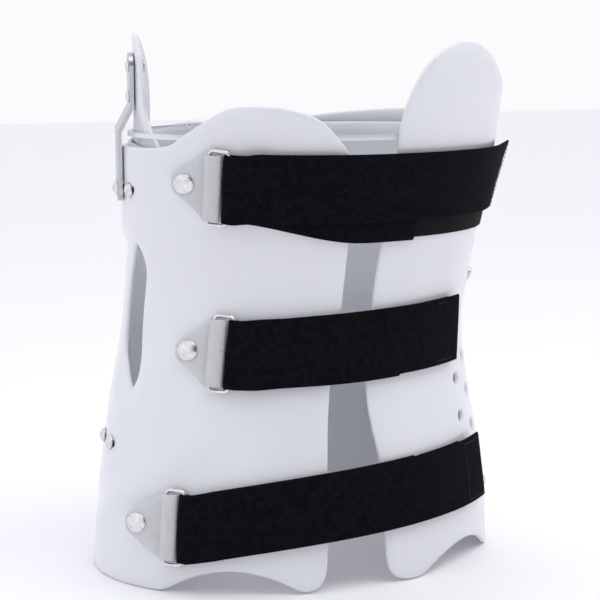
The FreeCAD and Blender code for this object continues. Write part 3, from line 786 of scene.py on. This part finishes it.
def setOutTree(name, prototype, material):
    tree = bpy.data.node_groups.new(name, "GeometryNodeTree")
    tree.interface.new_socket("Geometry", in_out="INPUT", socket_type="NodeSocketGeometry")
    size = tree.interface.new_socket("Part size", in_out="INPUT", socket_type="NodeSocketFloat")
    size.default_value = 1.0
    tree.interface.new_socket("Geometry", in_out="OUTPUT", socket_type="NodeSocketGeometry")
    nodes, links = tree.nodes, tree.links
    start, end = nodes.new("NodeGroupInput"), nodes.new("NodeGroupOutput")
    info = nodes.new("GeometryNodeObjectInfo")
    info.inputs["Object"].default_value = prototype
    turn = nodes.new("GeometryNodeInputNamedAttribute")
    turn.data_type = "FLOAT_VECTOR"
    turn.inputs["Name"].default_value = "turn"
    toRotation = nodes.new("FunctionNodeEulerToRotation")
    put = nodes.new("GeometryNodeInstanceOnPoints")
    real = nodes.new("GeometryNodeRealizeInstances")
    finish = nodes.new("GeometryNodeSetMaterial")
    finish.inputs["Material"].default_value = material
    joinUp(links, (start, "Geometry", put, "Points"), (info, "Geometry", put, "Instance"),
           (turn, "Attribute", toRotation, "Euler"), (toRotation, "Rotation", put, "Rotation"),
           (start, "Part size", put, "Scale"), (put, "Instances", real, "Geometry"),
           (real, "Geometry", finish, "Geometry"), (finish, "Geometry", end, "Geometry"))
    return tree, size.identifier


def plainMesh(obj):
    graph = bpy.context.evaluated_depsgraph_get()
    graph.update()
    mesh = bpy.data.meshes.new_from_object(obj.evaluated_get(graph))
    obj.modifiers.clear()
    old = obj.data
    obj.data = mesh
    bpy.data.meshes.remove(old)
    return obj


def setOut(name, prototype, places, material, size=1.0):
    obj = newObject(name, [p for p, z, x in places], [], False)
    turns = obj.data.attributes.new("turn", "FLOAT_VECTOR", "POINT")
    for i, (p, z, x) in enumerate(places):
        z = z.normalized()
        x = (x - z*x.dot(z)).normalized()
        y = z.cross(x)
        m = Matrix((x, y, z)).transposed()
        turns.data[i].vector = m.to_euler()
    tree, sizeId = setOutTree(name + "Tree", prototype, material)
    mod = obj.modifiers.new("setOut", "NODES")
    mod.node_group = tree
    mod[sizeId] = size
    plainMesh(obj)
    obj.data.shade_smooth()
    return obj


def fuzzTree(name, material):
    tree = bpy.data.node_groups.new(name, "GeometryNodeTree")
    tree.interface.new_socket("Geometry", in_out="INPUT", socket_type="NodeSocketGeometry")
    ids = {}
    for label, kind, value in (("Fibres per area", "NodeSocketFloat", 90000.0),
                               ("Fibre length", "NodeSocketFloat", 0.0011),
                               ("Fibre radius", "NodeSocketFloat", 0.00006), ("Seed", "NodeSocketInt", 3)):
        socket = tree.interface.new_socket(label, in_out="INPUT", socket_type=kind)
        socket.default_value = value
        ids[label] = socket.identifier
    tree.interface.new_socket("Geometry", in_out="OUTPUT", socket_type="NodeSocketGeometry")
    nodes, links = tree.nodes, tree.links
    start, end = nodes.new("NodeGroupInput"), nodes.new("NodeGroupOutput")
    spread = nodes.new("GeometryNodeDistributePointsOnFaces")
    cone = nodes.new("GeometryNodeMeshCone")
    cone.fill_type = "NONE"
    cone.inputs["Vertices"].default_value = 3
    cone.inputs["Radius Top"].default_value = 0.0
    spin = nodes.new("FunctionNodeRandomValue")
    spin.data_type = "FLOAT_VECTOR"
    spin.inputs["Min"].default_value = (-0.9, -0.9, -3.0)
    spin.inputs["Max"].default_value = (0.9, 0.9, 3.0)
    toRotation = nodes.new("FunctionNodeEulerToRotation")
    turn = nodes.new("FunctionNodeRotateRotation")
    turn.rotation_space = "LOCAL"
    long = nodes.new("FunctionNodeRandomValue")
    long.data_type = "FLOAT"
    long.inputs[2].default_value = 0.5
    long.inputs[3].default_value = 1.25
    put = nodes.new("GeometryNodeInstanceOnPoints")
    real = nodes.new("GeometryNodeRealizeInstances")
    finish = nodes.new("GeometryNodeSetMaterial")
    finish.inputs["Material"].default_value = material
    join = nodes.new("GeometryNodeJoinGeometry")
    joinUp(links, (start, "Geometry", spread, "Mesh"), (start, "Fibres per area", spread, "Density"),
           (start, "Seed", spread, "Seed"), (start, "Fibre radius", cone, "Radius Bottom"),
           (start, "Fibre length", cone, "Depth"), (start, "Seed", spin, "Seed"),
           (start, "Seed", long, "Seed"),
           (spin, "Value", toRotation, "Euler"), (spread, "Rotation", turn, "Rotation"),
           (toRotation, "Rotation", turn, "Rotate By"), (spread, "Points", put, "Points"),
           (cone, "Mesh", put, "Instance"), (turn, "Rotation", put, "Rotation"), (long, 1, put, "Scale"),
           (start, "Geometry", join, "Geometry"), (put, "Instances", join, "Geometry"),
           (join, "Geometry", real, "Geometry"), (real, "Geometry", finish, "Geometry"),
           (finish, "Geometry", end, "Geometry"))
    return tree, ids


def fuzzed(obj, tree, ids, hair, seed):
    mod = obj.modifiers.new("fuzz", "NODES")
    mod.node_group = tree
    mod[ids["Fibres per area"]] = hair["perArea"]
    mod[ids["Fibre length"]] = hair["length"]
    mod[ids["Fibre radius"]] = hair["radius"]
    mod[ids["Seed"]] = seed
    return plainMesh(obj)


# finishes
def newMaterial(name, colour, roughness, metallic=0.0, **sockets):
    mat = bpy.data.materials.new(name)
    mat.use_nodes = True
    shader = mat.node_tree.nodes["Principled BSDF"]
    shader.inputs["Base Color"].default_value = (*colour, 1)
    shader.inputs["Roughness"].default_value = roughness
    shader.inputs["Metallic"].default_value = metallic
    for label, value in sockets.items():
        shader.inputs[label.replace("_", " ")].default_value = value
    return mat


def shaderInput(mat, label):
    return mat.node_tree.nodes["Principled BSDF"].inputs[label]


def grainOf(mat, scale, detail=4.0, stretch=(1, 1, 1)):
    nodes, links = mat.node_tree.nodes, mat.node_tree.links
    where = nodes.new("ShaderNodeTexCoord")
    fit = nodes.new("ShaderNodeMapping")
    fit.inputs["Scale"].default_value = stretch
    grain = nodes.new("ShaderNodeTexNoise")
    grain.inputs["Scale"].default_value = scale
    grain.inputs["Detail"].default_value = detail
    links.new(where.outputs["Object"], fit.inputs["Vector"])
    links.new(fit.outputs["Vector"], grain.inputs["Vector"])
    return grain.outputs["Fac"]


def spread(mat, source, low, high):
    span = mat.node_tree.nodes.new("ShaderNodeMapRange")
    for label, value in (("From Min", 0.3), ("From Max", 0.7), ("To Min", low), ("To Max", high)):
        span.inputs[label].default_value = value
    mat.node_tree.links.new(source, span.inputs["Value"])
    mat.node_tree.links.new(span.outputs["Result"], shaderInput(mat, "Roughness"))


def tint(mat, source, first, second, target=None, fromLow=0.3, fromHigh=0.7):
    ramp = mat.node_tree.nodes.new("ShaderNodeValToRGB")
    for stop, place, colour in zip(ramp.color_ramp.elements, (fromLow, fromHigh), (first, second)):
        stop.position = place
        stop.color = (*colour, 1)
    mat.node_tree.links.new(source, ramp.inputs["Fac"])
    mat.node_tree.links.new(ramp.outputs["Color"], target or shaderInput(mat, "Base Color"))


def bump(mat, source, strength, distance, before=None):
    node = mat.node_tree.nodes.new("ShaderNodeBump")
    node.inputs["Strength"].default_value = strength
    node.inputs["Distance"].default_value = distance
    mat.node_tree.links.new(source, node.inputs["Height"])
    if before:
        mat.node_tree.links.new(before.outputs["Normal"], node.inputs["Normal"])
    mat.node_tree.links.new(node.outputs["Normal"], shaderInput(mat, "Normal"))
    return node


whitePlastic = newMaterial("whitePlastic", (0.74, 0.75, 0.80), 0.28, Coat_Weight=0.25, Coat_Roughness=0.18)
wide = grainOf(whitePlastic, 7.0, 2.0)
tint(whitePlastic, wide, (0.705, 0.714, 0.752), (0.735, 0.742, 0.776))
spread(whitePlastic, grainOf(whitePlastic, 40.0, 2.0), 0.20, 0.27)
slow = bump(whitePlastic, wide, 0.3, 0.004)
bump(whitePlastic, grainOf(whitePlastic, 1400.0, 2.0), 0.08, 0.00008, slow)

blackPile = newMaterial("blackPile", (0.01, 0.011, 0.014), 0.92, Sheen_Weight=0.01, Sheen_Roughness=0.5,
                        Specular_IOR_Level=0.04)
tufts = grainOf(blackPile, 260.0, 3.0)
tint(blackPile, tufts, (0.0026, 0.0028, 0.0038), (0.0065, 0.007, 0.0095))
spread(blackPile, tufts, 0.85, 0.98)
soft = bump(blackPile, tufts, 0.6, 0.0006)
bump(blackPile, grainOf(blackPile, 1900.0, 3.0), 0.9, 0.0003, soft)

hookTape = newMaterial("hookTape", (0.006, 0.006, 0.007), 0.7, Specular_IOR_Level=0.08)
ribs = grainOf(hookTape, 900.0, 1.0)
tint(hookTape, ribs, (0.002, 0.002, 0.0025), (0.007, 0.007, 0.0085))
bump(hookTape, ribs, 0.8, 0.0004)

milkyTab = newMaterial("milkyTab", (0.70, 0.71, 0.70), 0.32, Transmission_Weight=0.35, IOR=1.48, Coat_Weight=0.2)
cloud = grainOf(milkyTab, 60.0, 3.0)
tint(milkyTab, cloud, (0.715, 0.727, 0.745), (0.775, 0.785, 0.80))
spread(milkyTab, cloud, 0.26, 0.4)
bump(milkyTab, cloud, 0.15, 0.0006)

nickel = newMaterial("nickel", (0.72, 0.71, 0.69), 0.2, 1.0)
smear = grainOf(nickel, 420.0, 4.0)
tint(nickel, smear, (0.62, 0.61, 0.6), (0.8, 0.79, 0.77))
spread(nickel, smear, 0.14, 0.3)
bump(nickel, smear, 0.08, 0.0001)

brushedSteel = newMaterial("brushedSteel", (0.55, 0.56, 0.58), 0.35, 1.0)
brush = grainOf(brushedSteel, 240.0, 5.0, (6, 6, 0.25))
tint(brushedSteel, brush, (0.45, 0.46, 0.48), (0.64, 0.65, 0.67))
spread(brushedSteel, brush, 0.26, 0.46)
bump(brushedSteel, brush, 0.2, 0.0002)

blackThread = newMaterial("blackThread", (0.03, 0.031, 0.036), 0.6)
twist = grainOf(blackThread, 1600.0, 2.0)
tint(blackThread, twist, (0.008, 0.0085, 0.01), (0.02, 0.021, 0.025))
bump(blackThread, twist, 0.5, 0.0003)
print("stage: finishes made")

hardware = {                   # half profiles: radius and height in mm
    "screw": [(0.0, 1.2), (1.7, 1.2), (1.7, 3.3), (2.1, 3.55), (3.6, 3.0), (4.9, 1.9), (5.5, 1.0),
              (5.5, 0.0), (2.5, 0.0), (2.5, -11.8), (0.0, -12.0)],
    "nut": [(0.0, 0.4), (2.4, 0.4), (2.8, 0.0), (4.8, 0.0), (5.5, 0.4), (5.5, 1.2), (3.5, 1.3), (3.5, 3.4),
            (0.0, 3.4)],
    "rivet": [(0.0, 2.4), (2.2, 2.3), (4.5, 1.9), (6.2, 1.3), (7.1, 0.9), (7.5, 0.6), (7.5, 0.1),
              (7.0, 0.0), (3.2, 0.0), (3.2, -6.8), (0.0, -7.0)],
    "burr": [(0.0, 0.0), (5.5, 0.0), (6.0, 0.4), (6.0, 0.9), (5.4, 1.2), (0.0, 1.2)],
    "smallRivet": [(0.0, 0.7), (2.4, 0.7), (3.7, 0.4), (4.0, 0.0), (1.8, 0.0), (1.8, -6.5), (0.0, -6.6)],
    "smallBurr": [(0.0, 0.0), (3.6, 0.0), (4.0, 0.3), (4.0, 0.9), (0.0, 0.9)],
    "flatScrew": [(0.0, 1.3), (1.2, 1.3), (1.3, 1.8), (3.2, 1.8), (4.4, 0.6), (4.6, 0.0), (2.0, -0.1),
                  (2.0, -9.5), (0.0, -9.7)],
    "stitch": [(0.0, -1.1), (0.18, -1.0), (0.28, -0.5), (0.3, 0.0), (0.28, 0.5), (0.18, 1.0), (0.0, 1.1)],
}
prototypes = {}
for name, profile in hardware.items():
    prototypes[name] = lathe(name + "Shape", profile, 7 if name == "stitch" else 30,
                             0.0017 if name == "screw" else 0.0)


def facing(t, z, halfHeight):  # directions on the torso: along it and outward
    v = (skin(t, z + halfHeight) - skin(t, z - halfHeight)).normalized()
    u = skin(t + 1, z) - skin(t - 1, z)
    n = u.cross(v).normalized()
    return v.cross(n).normalized(), v, n


def reachOf(node, base, n, radius=0.0075):   # how far in and out a CAD node goes along a line
    heights = [(vert.co - base).dot(n) for vert in frame["nodes"][node].data.vertices
               if ((vert.co - base) - n*(vert.co - base).dot(n)).length < radius]
    return min(heights), max(heights)


barBase, barFacing = skin(-101.0, 0.328), facing(-101.0, 0.328, 0.045)
heads = {"right": [], "left": []}
nuts = {"right": [], "left": []}
for pair, places in screwPlaces.items():
    side = pair.split("_")[0]
    for t, z in places:
        u, v, n = facing(t, z*0.001, 0.008)
        base = skin(t, z*0.001)
        if pair == "right_upper" and t < -95:
            u, v, n = barFacing
            base = barBase + v*((z*0.001 - barBase.z)/v.z)
        heads[side].append((base + n*(reachOf(pair + "_screws", base, n)[1] - 0.00367), n, u))
        nuts[side].append((base + n*reachOf(pair + "_nuts", base, n)[0], n, u))


def finishPiece(obj, body, nodes, material=None):
    if material and not len(obj.data.materials):
        obj.data.materials.append(material)
    if body:
        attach(obj, body)
    if nodes:
        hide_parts(*nodes)


for side in ("right", "left"):
    for kind, shape, places in (("screws", "screw", heads), ("nuts", "nut", nuts)):
        piece = setOut("side" + kind.capitalize() + side.capitalize(), prototypes[shape], places[side], nickel)
        finishPiece(piece, side + "_half", (side + "_upper_" + kind, side + "_lower_" + kind))

u, v, n = barFacing
barHeads, barBacks = [], []
for v0 in (0.052, 0.030):
    base = barBase + v*v0
    barHeads.append((base + n*(reachOf("underarm_bar_screws", base, n)[1] - 0.002), n, u + v*0.4))
    barBacks.append((base + n*reachOf("underarm_bar_nuts", base, n)[0], n, u))
finishPiece(setOut("barScrews", prototypes["flatScrew"], barHeads, nickel), "right_half",
            ("underarm_bar_screws",))
finishPiece(setOut("barNuts", prototypes["nut"], barBacks, nickel, 0.92), "right_half",
            ("underarm_bar_nuts",))

rivetHeads, rivetBacks = [], []
for name, place in loopPlaces.items():
    base = place["rear"] + place["u"]*(tab["rivetInset"] - straps[name]["reach"])
    low, high = reachOf("strap_" + name + "_rivet", base, place["n"], 0.009)
    rivetHeads.append((base + place["n"]*(high - 0.0024), place["n"], place["u"]))
    rivetBacks.append((base + place["n"]*low, place["n"], place["u"]))
finishPiece(setOut("tabRivets", prototypes["rivet"], rivetHeads, nickel), "right_half",
            tuple("strap_" + k + "_rivet" for k in loopPlaces))
finishPiece(setOut("tabRivetBurrs", prototypes["burr"], rivetBacks, nickel), "right_half", ())

padHeads, padBacks = [], []
for name in loopPlaces:
    strap = straps[name]
    for t in (strap["pad"][0] + 4.0, strap["pad"][1] - 4.0):
        z = sum(strapPoint(strap, t, side, 0, strap["padDrop"]).z for side in (1, -1))/2
        u, v, n = facing(t, z, 0.008)
        base = skin(t, z)
        low, high = reachOf("pad_" + name + "_rivets", base, n)
        padHeads.append((base + n*(high - 0.0007), n, u))
        padBacks.append((base + n*low, n, u))
finishPiece(setOut("padRivets", prototypes["smallRivet"], padHeads, nickel), "left_half",
            tuple("pad_" + k + "_rivets" for k in loopPlaces))
finishPiece(setOut("padRivetBurrs", prototypes["smallBurr"], padBacks, nickel), "left_half", ())
print("stage: small metal parts set out")


# stitches that hold each hook patch, on the flap's outer face
stitching = {"spacing": 0.0032, "side": 0.86, "lift": 0.0001}
for name in loopPlaces:
    strap = straps[name]
    first, last = strap["end"] - 12.0, strap["end"] - 1.6
    corners = [(first, -stitching["side"]), (last, -stitching["side"]), (last, stitching["side"]),
               (first, stitching["side"]), (first, -stitching["side"])]
    line = []
    for a, b in zip(corners[:-1], corners[1:]):
        for k in range(24):
            w = k/24
            t, s = a[0] + (b[0] - a[0])*w, a[1] + (b[1] - a[1])*w
            offset = flapOffset(strap, t, s) + straps["thickness"] + stitching["lift"]
            line.append(tuple(strapPoint(strap, t, s, offset)))
    line = evenly(line, stitching["spacing"], closed=True)
    places = []
    for i, p in enumerate(line):
        along = Vector(line[(i + 1) % len(line)]) - Vector(line[i-1])
        out = skinNormal((first + last)/2, strap["height"])
        places.append((Vector(p), along, out))
    seam = setOut("stitches" + name.capitalize(), prototypes["stitch"], places, blackThread)
    finishPiece(seam, name + "_flap", ())
for shape in prototypes.values():
    bpy.data.objects.remove(shape)

fibre = {"perArea": 150000.0, "length": 0.0013, "radius": 0.00009}
bristle = {"perArea": 200000.0, "length": 0.0008, "radius": 0.00012}
pileTree, pileIds = fuzzTree("pileFuzz", blackPile)
hookTree, hookIds = fuzzTree("hookBristles", hookTape)
for k, name in enumerate(loopPlaces):
    inner, flap = strapPieces[name], strapPieces[name + "Flap"]
    fuzzed(inner, pileTree, pileIds, fibre, 11 + k)
    fuzzed(flap, pileTree, pileIds, fibre, 21 + k)
    finishPiece(inner, name + "_strap", ("strap_" + name,), blackPile)
    place = loopPlaces[name]
    finishPiece(flap, None, ("strap_" + name + "_flap",), blackPile)
    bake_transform(flap)
    for part, body, node in (("Hook", name + "_flap", "strap_" + name + "_hook"),
                             ("Pad", "left_half", "pad_" + name)):
        piece = strapPieces[name + part]
        fuzzed(piece, hookTree, hookIds, bristle, 31 + k)
        finishPiece(piece, body, (node,), hookTape)
    finishPiece(tabPieces[name], "right_half", ("strap_" + name + "_tab",), milkyTab)
    finishPiece(loopPieces[name], name + "_loop", ("strap_" + name + "_loop",), nickel)

finishPiece(rightFront, "right_half", ("right_front_shell",), whitePlastic)
finishPiece(leftFront, "left_half", ("left_front_shell",), whitePlastic)
finishPiece(underarmShell, "right_half", ("underarm_shell",), whitePlastic)
finishPiece(backRight, None, ("right_back_wing", "back_shell"), whitePlastic)
finishPiece(backLeft, None, ("left_back_wing",), whitePlastic)
for piece, side, body in ((backRight, -1, "right_half"), (backLeft, 1, "left_half")):
    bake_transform(piece)
bar = frame["nodes"]["underarm_bar"]
bar.data.materials.clear()
bar.data.materials.append(brushedSteel)
print("stage: pieces fixed to their bodies")


# stage
def lookFrom(azimuth, elevation, distance, target, lens):
    a, e = math.radians(azimuth), math.radians(elevation)
    spot = Vector(target) + Vector((math.sin(a)*math.cos(e), -math.cos(a)*math.cos(e), math.sin(e)))*distance
    cam = bpy.data.objects.new("camera", bpy.data.cameras.new("camera"))
    cam.data.lens = lens
    cam.data.sensor_width = 36
    cam.location = spot
    cam.rotation_euler = (Vector(target) - spot).to_track_quat("-Z", "Y").to_euler()
    bpy.context.scene.collection.objects.link(cam)
    bpy.context.scene.camera = cam


view = {"azimuth": -27.0, "elevation": 8.5, "distance": 1.45, "target": (-0.003, 0.0045, 0.198),
        "lens": 112.0}
lookFrom(**view)


def areaLight(name, place, aim, size, power):
    light = bpy.data.lights.new(name, "AREA")
    light.shape = "RECTANGLE"
    light.size, light.size_y = size
    light.energy = power
    obj = bpy.data.objects.new(name, light)
    obj.location = place
    obj.rotation_euler = (Vector(aim) - Vector(place)).to_track_quat("-Z", "Y").to_euler()
    bpy.context.scene.collection.objects.link(obj)


areaLight("softTop", (0.35, -0.9, 1.9), (0, 0, 0.2), (1.6, 1.2), 11)
areaLight("leftFill", (-1.6, -0.7, 0.7), (0, 0, 0.22), (1.0, 1.4), 0.6)
areaLight("rightFill", (1.5, -0.9, 0.8), (0, 0, 0.22), (1.0, 1.4), 2)

studio = {"backdrop": (0.965, 0.958, 0.985), "room": (0.90, 0.905, 0.945), "roomDark": (0.05, 0.052, 0.06),
          "darkSide": (0.2, -0.95, 0.2), "darkEdge": (0.74, 0.93), "strength": 1.12}
world = bpy.data.worlds.new("studio")
bpy.context.scene.world = world
world.use_nodes = True
nodes, links = world.node_tree.nodes, world.node_tree.links
seen = nodes["Background"]
seen.inputs["Color"].default_value = (*studio["backdrop"], 1)
seen.inputs["Strength"].default_value = 1.0
lit = nodes.new("ShaderNodeBackground")
lit.inputs["Strength"].default_value = studio["strength"]
where = nodes.new("ShaderNodeTexCoord")
toward = nodes.new("ShaderNodeVectorMath")
toward.operation = "DOT_PRODUCT"
toward.inputs[1].default_value = studio["darkSide"]
links.new(where.outputs["Generated"], toward.inputs[0])
tint(world, toward.outputs["Value"], studio["room"], studio["roomDark"], lit.inputs["Color"], *studio["darkEdge"])
ray = nodes.new("ShaderNodeLightPath")
pick = nodes.new("ShaderNodeMixShader")
links.new(ray.outputs["Is Camera Ray"], pick.inputs["Fac"])
links.new(lit.outputs["Background"], pick.inputs[1])
links.new(seen.outputs["Background"], pick.inputs[2])
links.new(pick.outputs["Shader"], nodes["World Output"].inputs["Surface"])

corners = [(x, y, -0.0002) for x, y in ((-6, -6), (6, -6), (6, 6), (-6, 6))]
floor = newObject("floor", corners, [(0, 1, 2, 3)], False)
floor.data.materials.append(newMaterial("paleFloor", (0.93, 0.925, 0.95), 0.7))
bpy.context.scene.view_settings.view_transform = "Standard"
